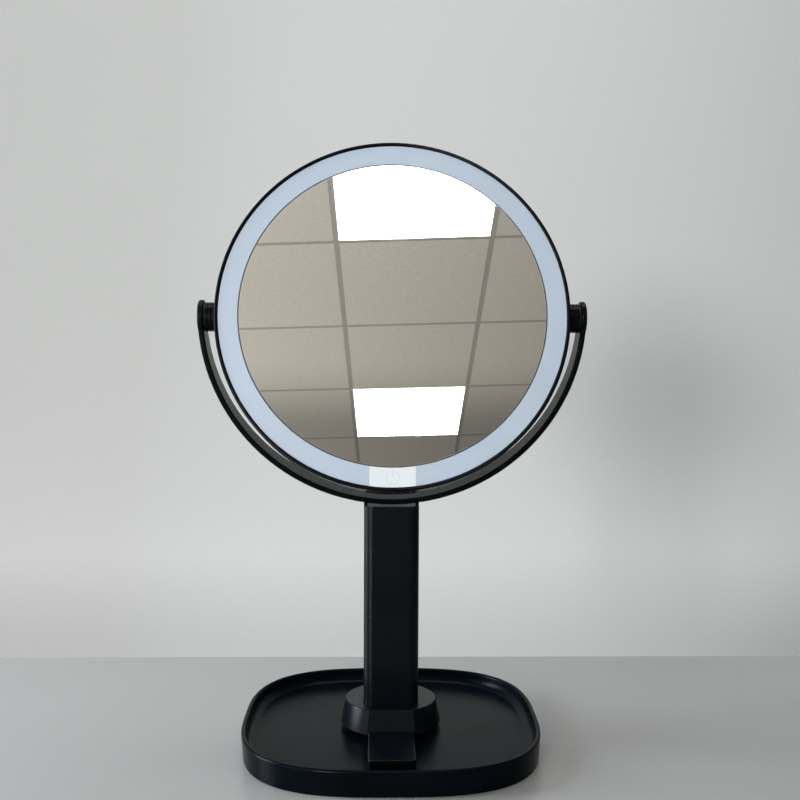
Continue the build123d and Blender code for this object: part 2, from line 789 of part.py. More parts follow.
def build_nodes():
    nodes = {
        "tray": make_tray(),
        "tray_cover": make_tray_cover(),
        "ballast_plate": make_ballast(),
        "cover_screws": make_cover_screws(),
        "rubber_feet": make_feet(),
        "collar": make_collar(),
        "front_block": make_front_block(),
        "block_screws": make_block_screws(),
        "post": make_post(),
        "post_plug": make_post_plug(),
        "post_washer": make_post_washer(),
        "post_bolt": make_post_bolt(),
        "yoke_saddle": make_yoke_saddle(),
        "yoke": make_yoke(),
        "yoke_screws": make_yoke_screws(),
        "front_shell": make_front_shell(),
        "rear_shell": make_rear_shell(),
        "front_glass": make_front_glass(),
        "glass_pad": make_glass_pad(),
        "diffuser_ring": make_diffuser_ring(),
        "touch_plate": make_touch_plate(),
        "touch_board": make_touch_board(),
        "carrier_plate": make_carrier_plate(),
        "led_board": make_led_board(),
        "led_chips": make_led_chips(),
        "shell_screws": make_shell_screws(),
        "battery_cell": make_battery(),
        "control_board": make_control_board(),
        "board_screws": make_board_screws(),
        "charge_socket": make_charge_socket(),
        "rear_mirror": make_rear_mirror(),
    }
    nodes.update(side_pair("arm_bush", make_bush(), in_yoke))
    nodes.update(side_pair("arm_cap", make_arm_cap(), in_yoke))
    nodes.update(side_pair("pivot_boss", make_pivot_boss(), in_head))
    nodes.update(side_pair("friction_washer", make_friction_washer(), in_head))
    nodes.update(side_pair("pivot_screw", make_pivot_screw(), in_head))
    return nodes


os.makedirs("parts", exist_ok=True)
for name, shape in build_nodes().items():
    solids = shape if isinstance(shape, list) else shape.solids()
    export_step(Compound(children=list(solids)), os.path.join("parts", name + ".step"))
    print(name, len(solids), round(sum(s.volume for s in solids), 1))
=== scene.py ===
"""Looks of a lighted table mirror: round two-sided head in a half-ring yoke, over a tray.

Builds the finishes of the moulded shells, the mirrors, the light ring and the fittings,
and the plain studio around them.
"""

import math

import bmesh
import bpy
from bpy.props import FloatProperty, FloatVectorProperty, PointerProperty
from mathutils import Matrix, Vector


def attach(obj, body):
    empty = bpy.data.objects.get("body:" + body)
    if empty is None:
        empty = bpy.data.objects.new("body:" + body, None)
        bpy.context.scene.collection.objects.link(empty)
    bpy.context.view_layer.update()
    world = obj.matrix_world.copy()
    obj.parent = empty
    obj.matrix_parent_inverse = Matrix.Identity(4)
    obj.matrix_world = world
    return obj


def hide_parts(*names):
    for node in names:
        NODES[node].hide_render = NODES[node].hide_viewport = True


bl_info = {
    "name": "Lighted Table Mirror",
    "version": (1, 0, 0),
    "blender": (4, 5, 0),
    "location": "View3D > Sidebar > Table Mirror",
    "description": "Finishes and studio for a lighted table mirror",
    "category": "Object",
}

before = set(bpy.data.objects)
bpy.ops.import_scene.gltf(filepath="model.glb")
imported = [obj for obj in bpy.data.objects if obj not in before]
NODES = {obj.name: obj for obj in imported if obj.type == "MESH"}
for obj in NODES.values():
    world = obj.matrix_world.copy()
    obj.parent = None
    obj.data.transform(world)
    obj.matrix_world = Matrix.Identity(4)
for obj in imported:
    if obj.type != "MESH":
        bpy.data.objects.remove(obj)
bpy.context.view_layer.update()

# The head's own axis: it crosses the pivot line and leans back by the tilt.
PIVOT = Vector((0.0, -0.0145, 0.2475))
TILT = math.radians(12.4)
HEAD_AXIS = Vector((0.0, -math.cos(TILT), math.sin(TILT)))
HEAD_UP = Vector((0.0, math.sin(TILT), math.cos(TILT)))

# Radii about that axis and places along it, in metres, as the CAD has them.
GLASS_RADIUS = 0.0859
RING_OUTER = 0.0968
TOUCH_FACE = 0.0124
REAR_MIRROR_RADIUS = 0.088
REAR_MIRROR_CURVE = 0.8
REAR_MIRROR_THICKNESS = 0.002
REAR_MIRROR_EDGE = -0.012

POST_BLACK = ("collar", "front_block", "post")
FRAME_BLACK = (
    "yoke", "front_shell", "rear_shell", "arm_cap_left", "arm_cap_right",
    "pivot_boss_left", "pivot_boss_right",
)
SCREWS = (
    "cover_screws", "block_screws", "post_washer", "post_bolt", "shell_screws",
    "board_screws", "pivot_screw_left", "pivot_screw_right",
)
BUSHES = (
    "arm_bush_left", "arm_bush_right", "friction_washer_left", "friction_washer_right",
)


# ---- settings -------------------------------------------------------------------------
def colour_setting(name, description, default):
    return FloatVectorProperty(
        name=name, description=description, default=default, subtype="COLOR", size=3,
        min=0.0, max=1.0,
    )


class MirrorFinish(bpy.types.PropertyGroup):
    """Colours and gloss of the mirror's own surfaces."""

    base_colour: colour_setting(
        "Base colour", "Moulded plastic of the tray, collar and post", (0.0012, 0.0026, 0.0044)
    )
    base_roughness: FloatProperty(
        name="Base roughness", description="Gloss of the tray, collar and post",
        default=0.26, min=0.0, max=1.0, subtype="FACTOR",
    )
    frame_colour: colour_setting(
        "Frame colour", "Moulded plastic of the head's shells and the yoke",
        (0.0022, 0.0028, 0.0038),
    )
    frame_roughness: FloatProperty(
        name="Frame roughness", description="Gloss of the head's shells and the yoke",
        default=0.27, min=0.0, max=1.0, subtype="FACTOR",
    )
    tray_shine: FloatProperty(
        name="Tray shine", description="Specular level of the tray, which is the least glossy",
        default=0.045, min=0.0, max=1.0, subtype="FACTOR",
    )
    post_shine: FloatProperty(
        name="Post shine", description="Specular level of the post, the collar and the block",
        default=0.13, min=0.0, max=1.0, subtype="FACTOR",
    )
    frame_shine: FloatProperty(
        name="Frame shine", description="Specular level of the head's shells and the yoke",
        default=0.07, min=0.0, max=1.0, subtype="FACTOR",
    )
    grain_pitch: FloatProperty(
        name="Grain pitch", description="Distance between the grains of the moulded skin",
        default=0.0006, min=0.0001, max=0.01, unit="LENGTH",
    )
    grain_depth: FloatProperty(
        name="Grain depth", description="Height of the grains of the moulded skin",
        default=0.000006, min=0.0, max=0.001, unit="LENGTH",
    )
    silver_colour: colour_setting(
        "Silver colour", "Reflection of the silvered glass", (0.90, 0.905, 0.90)
    )
    ring_colour: colour_setting(
        "Light ring colour", "Frosted plastic that spreads the light", (0.44, 0.52, 0.625)
    )
    # The ring's glow is painted light: a faint emission, brighter across the ring's middle than
    # at its edges, standing in for light and shade on the ring.
    ring_painted_glow: FloatProperty(
        name="Light ring glow", description="Strength of the faint light behind the ring",
        default=0.06, min=0.0, max=10.0,
    )
    touch_colour: colour_setting(
        "Touch plate colour", "Smooth plate over the switch", (0.76, 0.80, 0.83)
    )
    mark_radius: FloatProperty(
        name="Mark radius", description="Radius of the ring-and-bar mark on the touch plate",
        default=0.0036, min=0.001, max=0.006, unit="LENGTH",
    )


class StudioSettings(bpy.types.PropertyGroup):
    """Table, backdrop, lights and camera."""

    table_colour: colour_setting("Table colour", "Top of the table", (0.315, 0.32, 0.315))
    wall_colour: colour_setting("Wall colour", "Backdrop behind the table", (0.545, 0.555, 0.552))
    # The ceiling's tiles glow in this colour as painted light; only the two panels are lamps.
    ceiling_colour: colour_setting(
        "Ceiling colour", "Tiles that the front glass reflects", (0.40, 0.37, 0.315)
    )
    panel_light: FloatProperty(
        name="Panel light", description="Brightness of the two ceiling panels",
        default=6.0, min=0.0, max=100.0,
    )
    front_power: FloatProperty(
        name="Front power", description="Power of the soft light in front, on the left",
        default=55.0, min=0.0, max=1000.0, unit="POWER",
    )
    window_power: FloatProperty(
        name="Window power", description="Power of the two soft lights on the left",
        default=33.0, min=0.0, max=1000.0, unit="POWER",
    )
    top_power: FloatProperty(
        name="Top power", description="Power of the soft light above the table",
        default=9.0, min=0.0, max=1000.0, unit="POWER",
    )
    wall_power: FloatProperty(
        name="Wall power", description="Power of the light at the foot of the backdrop",
        default=6.5, min=0.0, max=1000.0, unit="POWER",
    )
    lens: FloatProperty(
        name="Lens", description="Focal length on a 36 mm sensor, in millimetres",
        default=48.6, min=10.0, max=300.0,
    )
    table_edge: FloatProperty(
        name="Table edge", description="Distance from the post to the table's back edge",
        default=0.161, min=0.11, max=2.0, unit="LENGTH",
    )


def finish_settings():
    return bpy.context.scene.mirror_finish


def studio_settings():
    return bpy.context.scene.mirror_studio


# ---- shader helpers -------------------------------------------------------------------
def new_material(name):
    material = bpy.data.materials.new(name)
    material.use_nodes = True
    return material, material.node_tree, material.node_tree.nodes["Principled BSDF"]


def add_node(tree, kind, x, y, **values):
    """Adds a node and sets its properties, and its inputs by their names."""
    node = tree.nodes.new(kind)
    node.location = (x, y)
    for key, value in values.items():
        if hasattr(node, key):
            setattr(node, key, value)
        else:
            node.inputs[key.replace("_", " ").title()].default_value = value
    return node


def rgba(colour, share=1.0):
    return tuple(c * share for c in colour) + (1.0,)


def put_on(material, *names):
    """Gives CAD nodes a material on every slot they have."""
    for name in names:
        slots = NODES[name].material_slots
        if not slots:
            NODES[name].data.materials.append(material)
        for slot in slots:
            slot.material = material


def mesh_object(name, bm):
    """Puts a finished bmesh into the scene as an object."""
    mesh = bpy.data.meshes.new(name)
    bm.to_mesh(mesh)
    bm.free()
    piece = bpy.data.objects.new(name, mesh)
    bpy.context.scene.collection.objects.link(piece)
    return piece


def moulded_skin_group():
    """Grain and slow patches of a moulded plastic skin, as a height and a mask."""
    group = bpy.data.node_groups.new("Moulded Skin", "ShaderNodeTree")
    face = group.interface
    face.new_socket("Vector", in_out="INPUT", socket_type="NodeSocketVector")
    face.new_socket("Grain Scale", in_out="INPUT", socket_type="NodeSocketFloat")
    face.new_socket("Patch Scale", in_out="INPUT", socket_type="NodeSocketFloat")
    face.new_socket("Height", in_out="OUTPUT", socket_type="NodeSocketFloat")
    face.new_socket("Patch", in_out="OUTPUT", socket_type="NodeSocketFloat")
    enter = add_node(group, "NodeGroupInput", -600, 0)
    leave = add_node(group, "NodeGroupOutput", 400, 0)
    grain = add_node(group, "ShaderNodeTexNoise", -300, 150, detail=2.0, roughness=0.55)
    cells = add_node(group, "ShaderNodeTexVoronoi", -300, -80, feature="SMOOTH_F1")
    patch = add_node(group, "ShaderNodeTexNoise", -300, -320, detail=3.0, roughness=0.5)
    both = add_node(group, "ShaderNodeMath", 0, 100, operation="ADD")
    spread = add_node(group, "ShaderNodeMapRange", 0, -320)
    spread.inputs["From Min"].default_value = 0.35
    spread.inputs["From Max"].default_value = 0.65
    join = group.links.new
    for texture in (grain, cells, patch):
        join(enter.outputs["Vector"], texture.inputs["Vector"])
    join(enter.outputs["Grain Scale"], grain.inputs["Scale"])
    join(enter.outputs["Grain Scale"], cells.inputs["Scale"])
    join(enter.outputs["Patch Scale"], patch.inputs["Scale"])
    join(grain.outputs["Fac"], both.inputs[0])
    join(cells.outputs["Distance"], both.inputs[1])
    join(patch.outputs["Fac"], spread.inputs["Value"])
    join(both.outputs[0], leave.inputs["Height"])
    join(spread.outputs["Result"], leave.inputs["Patch"])
    return group


def head_radius_group():
    """Distance of a surface point from the head's axis, in metres."""
    group = bpy.data.node_groups.new("Head Radius", "ShaderNodeTree")
    face = group.interface
    face.new_socket("Vector", in_out="INPUT", socket_type="NodeSocketVector")
    face.new_socket("Radius", in_out="OUTPUT", socket_type="NodeSocketFloat")
    face.new_socket("Along", in_out="OUTPUT", socket_type="NodeSocketFloat")
    enter = add_node(group, "NodeGroupInput", -700, 0)
    leave = add_node(group, "NodeGroupOutput", 500, 0)
    shift = add_node(group, "ShaderNodeVectorMath", -500, 0, operation="SUBTRACT")
    shift.inputs[1].default_value = PIVOT
    along = add_node(group, "ShaderNodeVectorMath", -300, -150, operation="DOT_PRODUCT")
    along.inputs[1].default_value = HEAD_AXIS
    part = add_node(group, "ShaderNodeVectorMath", -100, -150, operation="SCALE")
    part.inputs[0].default_value = HEAD_AXIS
    flat = add_node(group, "ShaderNodeVectorMath", 100, 0, operation="SUBTRACT")
    size = add_node(group, "ShaderNodeVectorMath", 300, 0, operation="LENGTH")
    join = group.links.new
    join(enter.outputs["Vector"], shift.inputs[0])
    join(shift.outputs[0], along.inputs[0])
    join(along.outputs["Value"], part.inputs["Scale"])
    join(shift.outputs[0], flat.inputs[0])
    join(part.outputs[0], flat.inputs[1])
    join(flat.outputs[0], size.inputs[0])
    join(size.outputs["Value"], leave.inputs["Radius"])
    join(along.outputs["Value"], leave.inputs["Along"])
    return group


def shared_group(name):
    """One of the two shared effects, built when first asked for."""
    if name not in bpy.data.node_groups:
        {"Moulded Skin": moulded_skin_group, "Head Radius": head_radius_group}[name]()
    return bpy.data.node_groups[name]


def add_skin(tree, shader, colour, roughness, grain_scale, grain_depth, patch_scale=18.0,
             tint=0.25, gloss_spread=0.05):
    """Joins the moulded skin to a shader: tinted patches, uneven gloss and fine grain."""
    place = add_node(tree, "ShaderNodeTexCoord", -1000, 0)
    skin = add_node(tree, "ShaderNodeGroup", -800, 0, node_tree=shared_group("Moulded Skin"))
    skin.inputs["Grain Scale"].default_value = grain_scale
    skin.inputs["Patch Scale"].default_value = patch_scale
    shade = add_node(tree, "ShaderNodeMix", -450, 200, data_type="RGBA")
    shade.inputs["A"].default_value = rgba(colour, 1.0 - tint)
    shade.inputs["B"].default_value = rgba(colour, 1.0 + tint)
    gloss = add_node(tree, "ShaderNodeMapRange", -450, -50)
    gloss.inputs["To Min"].default_value = roughness - gloss_spread
    gloss.inputs["To Max"].default_value = roughness + gloss_spread
    bump = add_node(tree, "ShaderNodeBump", -450, -350)
    bump.inputs["Strength"].default_value = 1.0
    bump.inputs["Distance"].default_value = grain_depth
    join = tree.links.new
    join(place.outputs["Object"], skin.inputs["Vector"])
    join(skin.outputs["Patch"], shade.inputs["Factor"])
    join(skin.outputs["Patch"], gloss.inputs["Value"])
    join(skin.outputs["Height"], bump.inputs["Height"])
    join(shade.outputs["Result"], shader.inputs["Base Color"])
    join(gloss.outputs["Result"], shader.inputs["Roughness"])
    join(bump.outputs["Normal"], shader.inputs["Normal"])


def skin_material(name, colour, roughness, grain_pitch, grain_depth, metallic=0.0, coat=0.0,
                  coat_roughness=0.1, shine=0.5, **spread):
    """A material made only of the moulded skin, with its plain values on the shader."""
    material, tree, shader = new_material(name)
    shader.inputs["Metallic"].default_value = metallic
    shader.inputs["Specular IOR Level"].default_value = shine
    shader.inputs["Coat Weight"].default_value = coat
    shader.inputs["Coat Roughness"].default_value = coat_roughness
    add_skin(tree, shader, colour, roughness, 1.0 / grain_pitch, grain_depth, **spread)
    return material


# ---- finishes -------------------------------------------------------------------------
class MIRROR_OT_black_plastics(bpy.types.Operator):
    """Satin black of the tray, collar, block and post, and of the shells and the yoke"""

    bl_idname = "mirror.black_plastics"
    bl_label = "Black plastics"

    def execute(self, context):
        s = finish_settings()
        tray = skin_material(
            "Tray Black", s.base_colour, s.base_roughness, s.grain_pitch, s.grain_depth,
            patch_scale=14.0, tint=0.2, gloss_spread=0.035, shine=s.tray_shine,
        )
        put_on(tray, "tray")
        post = skin_material(
            "Post Black", s.base_colour, s.base_roughness + 0.04, s.grain_pitch, s.grain_depth,
            patch_scale=17.0, tint=0.2, gloss_spread=0.035, shine=s.post_shine,
        )
        put_on(post, *POST_BLACK)
        shell = skin_material(
            "Frame Black", s.frame_colour, s.frame_roughness, s.grain_pitch,
            s.grain_depth * 0.7, patch_scale=20.0, tint=0.2, gloss_spread=0.03,
            shine=s.frame_shine,
        )
        put_on(shell, *FRAME_BLACK)
        under = skin_material(
            "Cover Black", s.base_colour, 0.55, 0.0011, 0.00003, patch_scale=30.0, tint=0.3,
        )
        put_on(under, "tray_cover")
        rubber = skin_material(
            "Foot Rubber", (0.018, 0.018, 0.018), 0.78, 0.0005, 0.00002, patch_scale=120.0,
            tint=0.35, gloss_spread=0.08,
        )
        put_on(rubber, "rubber_feet")
        return {"FINISHED"}


def silvered_glass(name, radius, colour):
    """Silvered glass: a clear reflection, a ground rim darkened as painted shade of the gap
    beside it, and the faintest haze of handling.
    """
    material, tree, shader = new_material(name)
    place = add_node(tree, "ShaderNodeTexCoord", -1300, 0)
    where = add_node(tree, "ShaderNodeGroup", -1100, 100, node_tree=shared_group("Head Radius"))
    # Band at the ground rim, just inside the glass's edge. The rim is real, but its dark colour
    # is painted shade of the gap between the glass and the part around it.
    rim = add_node(tree, "ShaderNodeMapRange", -850, 100)
    rim.inputs["From Min"].default_value = radius - 0.00062
    rim.inputs["From Max"].default_value = radius - 0.00042
    haze = add_node(tree, "ShaderNodeTexNoise", -1100, -250)
    haze.inputs["Scale"].default_value = 42.0
    haze.inputs["Detail"].default_value = 4.0
    thin = add_node(tree, "ShaderNodeMapRange", -850, -250)
    thin.inputs["From Min"].default_value = 0.45
    thin.inputs["From Max"].default_value = 0.8
    thin.inputs["To Min"].default_value = 0.004
    thin.inputs["To Max"].default_value = 0.02
    tone = add_node(tree, "ShaderNodeMix", -500, 250, data_type="RGBA")
    tone.inputs["A"].default_value = rgba(colour)
    # Colour of the painted gap shade over the ground rim.
    tone.inputs["B"].default_value = (0.045, 0.055, 0.055, 1.0)
    gloss = add_node(tree, "ShaderNodeMix", -500, -50, data_type="FLOAT")
    gloss.inputs["B"].default_value = 0.34
    metal = add_node(tree, "ShaderNodeMapRange", -500, -300)
    metal.inputs["To Min"].default_value = 1.0
    metal.inputs["To Max"].default_value = 0.25
    join = tree.links.new
    join(place.outputs["Object"], where.inputs["Vector"])
    join(place.outputs["Object"], haze.inputs["Vector"])
    join(where.outputs["Radius"], rim.inputs["Value"])
    join(haze.outputs["Fac"], thin.inputs["Value"])
    join(rim.outputs["Result"], tone.inputs["Factor"])
    join(rim.outputs["Result"], gloss.inputs["Factor"])
    join(rim.outputs["Result"], metal.inputs["Value"])
    join(thin.outputs["Result"], gloss.inputs["A"])
    join(tone.outputs["Result"], shader.inputs["Base Color"])
    join(gloss.outputs["Result"], shader.inputs["Roughness"])
    join(metal.outputs["Result"], shader.inputs["Metallic"])
    return material


def dished_glass(name, rings=26, turns=160):
    """The dished rear glass, turned in fine rings so that it reflects without kinks."""
    def sag(r):
        return REAR_MIRROR_CURVE - math.sqrt(REAR_MIRROR_CURVE ** 2 - r * r)

    radii = [REAR_MIRROR_RADIUS * step / rings for step in range(1, rings)]
    radii += [REAR_MIRROR_RADIUS - 0.0004, REAR_MIRROR_RADIUS]
    lowest = REAR_MIRROR_EDGE + sag(REAR_MIRROR_RADIUS)
    bm = bmesh.new()

    def spot(radius, angle, along):
        return bm.verts.new(PIVOT + Vector((radius * math.cos(angle), 0.0, 0.0))
                            + HEAD_UP * (radius * math.sin(angle)) + HEAD_AXIS * along)

    rims = []
    for lift in (0.0, REAR_MIRROR_THICKNESS):
        middle = spot(0.0, 0.0, lowest + lift)
        rows = [
            [spot(r, 2 * math.pi * k / turns, lowest - sag(r) + lift) for k in range(turns)]
            for r in radii
        ]
        for k in range(turns):
            n = (k + 1) % turns
            bm.faces.new((middle, rows[0][k], rows[0][n]))
            for a, b in zip(rows, rows[1:]):
                bm.faces.new((a[k], b[k], b[n], a[n]))
        rims.append(rows[-1])
    outer, inner = rims
    for k in range(turns):
        n = (k + 1) % turns
        bm.faces.new((outer[k], inner[k], inner[n], outer[n]))
    bmesh.ops.recalc_face_normals(bm, faces=bm.faces)
    for face in bm.faces:
        face.smooth = True
    for rim in rims:
        for k in range(turns):
            bm.edges.get((rim[k], rim[(k + 1) % turns])).smooth = False
    return mesh_object(name, bm)


class MIRROR_OT_mirrors(bpy.types.Operator):
    """Silvering of the flat front glass, and the dished rear glass"""

    bl_idname = "mirror.mirrors"
    bl_label = "Mirrors"

    def execute(self, context):
        s = finish_settings()
        put_on(silvered_glass("Front Silver", GLASS_RADIUS, s.silver_colour), "front_glass")
        glass = dished_glass("rear_glass")
        glass.data.materials.append(
            silvered_glass("Rear Silver", REAR_MIRROR_RADIUS, s.silver_colour)
        )
        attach(glass, "head")
        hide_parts("rear_mirror")
        return {"FINISHED"}


class MIRROR_OT_light_ring(bpy.types.Operator):
    """Frosted ring with a painted glow, brighter across its middle than at its edges, and the
    smooth touch plate
    """

    bl_idname = "mirror.light_ring"
    bl_label = "Light ring"

    def execute(self, context):
        s = finish_settings()
        material, tree, shader = new_material("Frosted Ring")
        add_skin(tree, shader, s.ring_colour, 0.42, 1400.0, 0.00001, patch_scale=26.0,
                 tint=0.02, gloss_spread=0.04)
        shader.inputs["Subsurface Weight"].default_value = 0.25
        shader.inputs["Subsurface Radius"].default_value = (0.004, 0.004, 0.004)
        shader.inputs["Subsurface Scale"].default_value = 1.0
        place = add_node(tree, "ShaderNodeTexCoord", -1300, 500)
        where = add_node(tree, "ShaderNodeGroup", -1100, 500,
                         node_tree=shared_group("Head Radius"))
        # Painted glow across the ring's width: brightest in the middle, dimmer at the inner and
        # outer edges, as painted light and shade.
        across = add_node(tree, "ShaderNodeMapRange", -850, 500)
        across.inputs["From Min"].default_value = GLASS_RADIUS
        across.inputs["From Max"].default_value = RING_OUTER
        glow = add_node(tree, "ShaderNodeValToRGB", -600, 500)
        ramp = glow.color_ramp
        ramp.elements[0].color = rgba(s.ring_colour, 0.80)
        ramp.elements[1].color = rgba(s.ring_colour, 0.72)
        middle = ramp.elements.new(0.5)
        middle.color = rgba(s.ring_colour, 1.0)
        join = tree.links.new
        join(place.outputs["Object"], where.inputs["Vector"])
        join(where.outputs["Radius"], across.inputs["Value"])
        join(across.outputs["Result"], glow.inputs["Fac"])
        join(glow.outputs["Color"], shader.inputs["Emission Color"])
        shader.inputs["Emission Strength"].default_value = s.ring_painted_glow
        put_on(material, "diffuser_ring")
        plate = skin_material(
            "Touch White", s.touch_colour, 0.22, 0.0009, 0.000004, patch_scale=60.0,
            tint=0.015, gloss_spread=0.03, coat=0.3, coat_roughness=0.08,
        )
        put_on(plate, "touch_plate")
        return {"FINISHED"}


class MIRROR_OT_touch_mark(bpy.types.Operator):
    """Thin grey ring-and-bar mark printed on the touch plate"""

    bl_idname = "mirror.touch_mark"
    bl_label = "Touch mark"

    def execute(self, context):
        s = finish_settings()
        width, gap, steps = 0.00042, math.radians(38), 56
        bm = bmesh.new()
        rows = []
        for step in range(steps + 1):
            angle = math.pi / 2 + gap / 2 + (2 * math.pi - gap) * step / steps
            c, d = math.cos(angle), math.sin(angle)
            rows.append([
                bm.verts.new((r * c, r * d, 0.0))
                for r in (s.mark_radius - width / 2, s.mark_radius + width / 2)
            ])
        for a, b in zip(rows, rows[1:]):
            bm.faces.new((a[0], a[1], b[1], b[0]))
        low, high = s.mark_radius * 0.25, s.mark_radius * 1.22
        bar = []
        for end, turn in ((high, 0.0), (low, math.pi)):
            for step in range(9):
                angle = turn + math.pi * step / 8
                bar.append(bm.verts.new((width / 2 * math.cos(angle),
                                         end + width / 2 * math.sin(angle), 0.0)))
        bm.faces.new(bar)
        bmesh.ops.recalc_face_normals(bm, faces=bm.faces)
        for face in bm.faces:
            if face.normal.z < 0:
                face.normal_flip()
        mark = mesh_object("touch_mark", bm)
        below_middle, lift = 0.0002, 0.00002
        reach = (GLASS_RADIUS + RING_OUTER) / 2 + below_middle
        centre = PIVOT - HEAD_UP * reach + HEAD_AXIS * (TOUCH_FACE + lift)
        basis = Matrix((Vector((1, 0, 0)), HEAD_UP, HEAD_AXIS)).transposed().to_4x4()
        mark.matrix_world = Matrix.Translation(centre) @ basis
        ink = skin_material(
            "Mark Grey", (0.60, 0.63, 0.67), 0.45, 0.0004, 0.000002, patch_scale=300.0, tint=0.1
        )
        mark.data.materials.append(ink)
        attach(mark, "head")
        return {"FINISHED"}


class MIRROR_OT_fittings(bpy.types.Operator):
    """Screws, plates, bushes, boards, cell and other inner pieces"""

    bl_idname = "mirror.fittings"
    bl_label = "Fittings"

    def execute(self, context):
        steel = skin_material(
            "Zinc Steel", (0.56, 0.57, 0.60), 0.34, 0.0004, 0.000008, metallic=1.0,
            patch_scale=260.0, tint=0.08, gloss_spread=0.08,
        )
        put_on(steel, *SCREWS)
        plate = skin_material(
            "Plate Steel", (0.40, 0.41, 0.43), 0.42, 0.0009, 0.00001, metallic=1.0,
            patch_scale=40.0, tint=0.1, gloss_spread=0.08,
        )
        put_on(plate, "ballast_plate")
        dark_steel = skin_material(
            "Black Oxide", (0.035, 0.035, 0.038), 0.38, 0.0004, 0.000008, metallic=1.0,
            patch_scale=260.0, tint=0.15,
        )
        put_on(dark_steel, "yoke_screws")
        bush = skin_material(
            "Bush Plastic", (0.012, 0.012, 0.013), 0.30, 0.0008, 0.000006, patch_scale=180.0,
            tint=0.2,
        )
        put_on(bush, *BUSHES)
        grey = skin_material(
            "Inner Grey", (0.11, 0.11, 0.115), 0.5, 0.0008, 0.00002, patch_scale=60.0
        )
        put_on(grey, "post_plug", "yoke_saddle")
        white = skin_material(
            "Inner White", (0.78, 0.78, 0.75), 0.42, 0.0008, 0.00001, patch_scale=40.0, tint=0.03
        )
        put_on(white, "carrier_plate")
        foam = skin_material(
            "Pad Foam", (0.10, 0.10, 0.105), 0.85, 0.0006, 0.00012, patch_scale=90.0, tint=0.3
        )
        put_on(foam, "glass_pad")
        strip = skin_material(
            "Light Board", (0.80, 0.81, 0.79), 0.38, 0.0006, 0.000006, patch_scale=60.0, tint=0.03
        )
        put_on(strip, "led_board")
        chip = skin_material(
            "Light Chip", (0.85, 0.72, 0.24), 0.35, 0.0004, 0.00001, patch_scale=400.0, tint=0.08
        )
        put_on(chip, "led_chips")
        board = skin_material(
            "Circuit Board", (0.02, 0.16, 0.07), 0.30, 0.0005, 0.00001, patch_scale=220.0,
            tint=0.3, coat=0.2,
        )
        put_on(board, "control_board", "touch_board")
        foil = skin_material(
            "Cell Foil", (0.66, 0.67, 0.69), 0.30, 0.0012, 0.00003, metallic=1.0,
            patch_scale=70.0, tint=0.06, gloss_spread=0.08,
        )
        put_on(foil, "battery_cell")
        shell = skin_material(
            "Socket Shell", (0.72, 0.73, 0.75), 0.22, 0.0004, 0.000003, metallic=1.0,
            patch_scale=300.0, tint=0.05,
        )
        put_on(shell, "charge_socket")
        return {"FINISHED"}


# ---- studio ---------------------------------------------------------------------------
def stage_piece(name, bm, material):
    piece = mesh_object(name, bm)
    piece.data.materials.append(material)


def sheet(name, corners, material):
    """A flat stage piece from its corner points."""
    bm = bmesh.new()
    bm.faces.new([bm.verts.new(c) for c in corners])
    stage_piece(name, bm, material)


def swept(name, profile, half_width, material):
    """A stage piece swept along X from (y, z) points."""
    bm = bmesh.new()
    rows = [[bm.verts.new((x, y, z)) for x in (-half_width, half_width)] for y, z in profile]
    for a, b in zip(rows, rows[1:]):
        bm.faces.new((a[0], a[1], b[1], b[0]))
    stage_piece(name, bm, material)


def area_light(name, place, target, size, power, colour):
    """A soft light that faces a point and isn't seen by the camera itself."""
    light = bpy.data.lights.new(name, "AREA")
    light.shape = "RECTANGLE"
    light.size, light.size_y = size
    light.energy = power
    light.color = colour
    lamp = bpy.data.objects.new(name, light)
    lamp.location = place
    lamp.rotation_euler = (Vector(target) - Vector(place)).to_track_quat("-Z", "Y").to_euler()
    lamp.visible_camera = False
    bpy.context.scene.collection.objects.link(lamp)


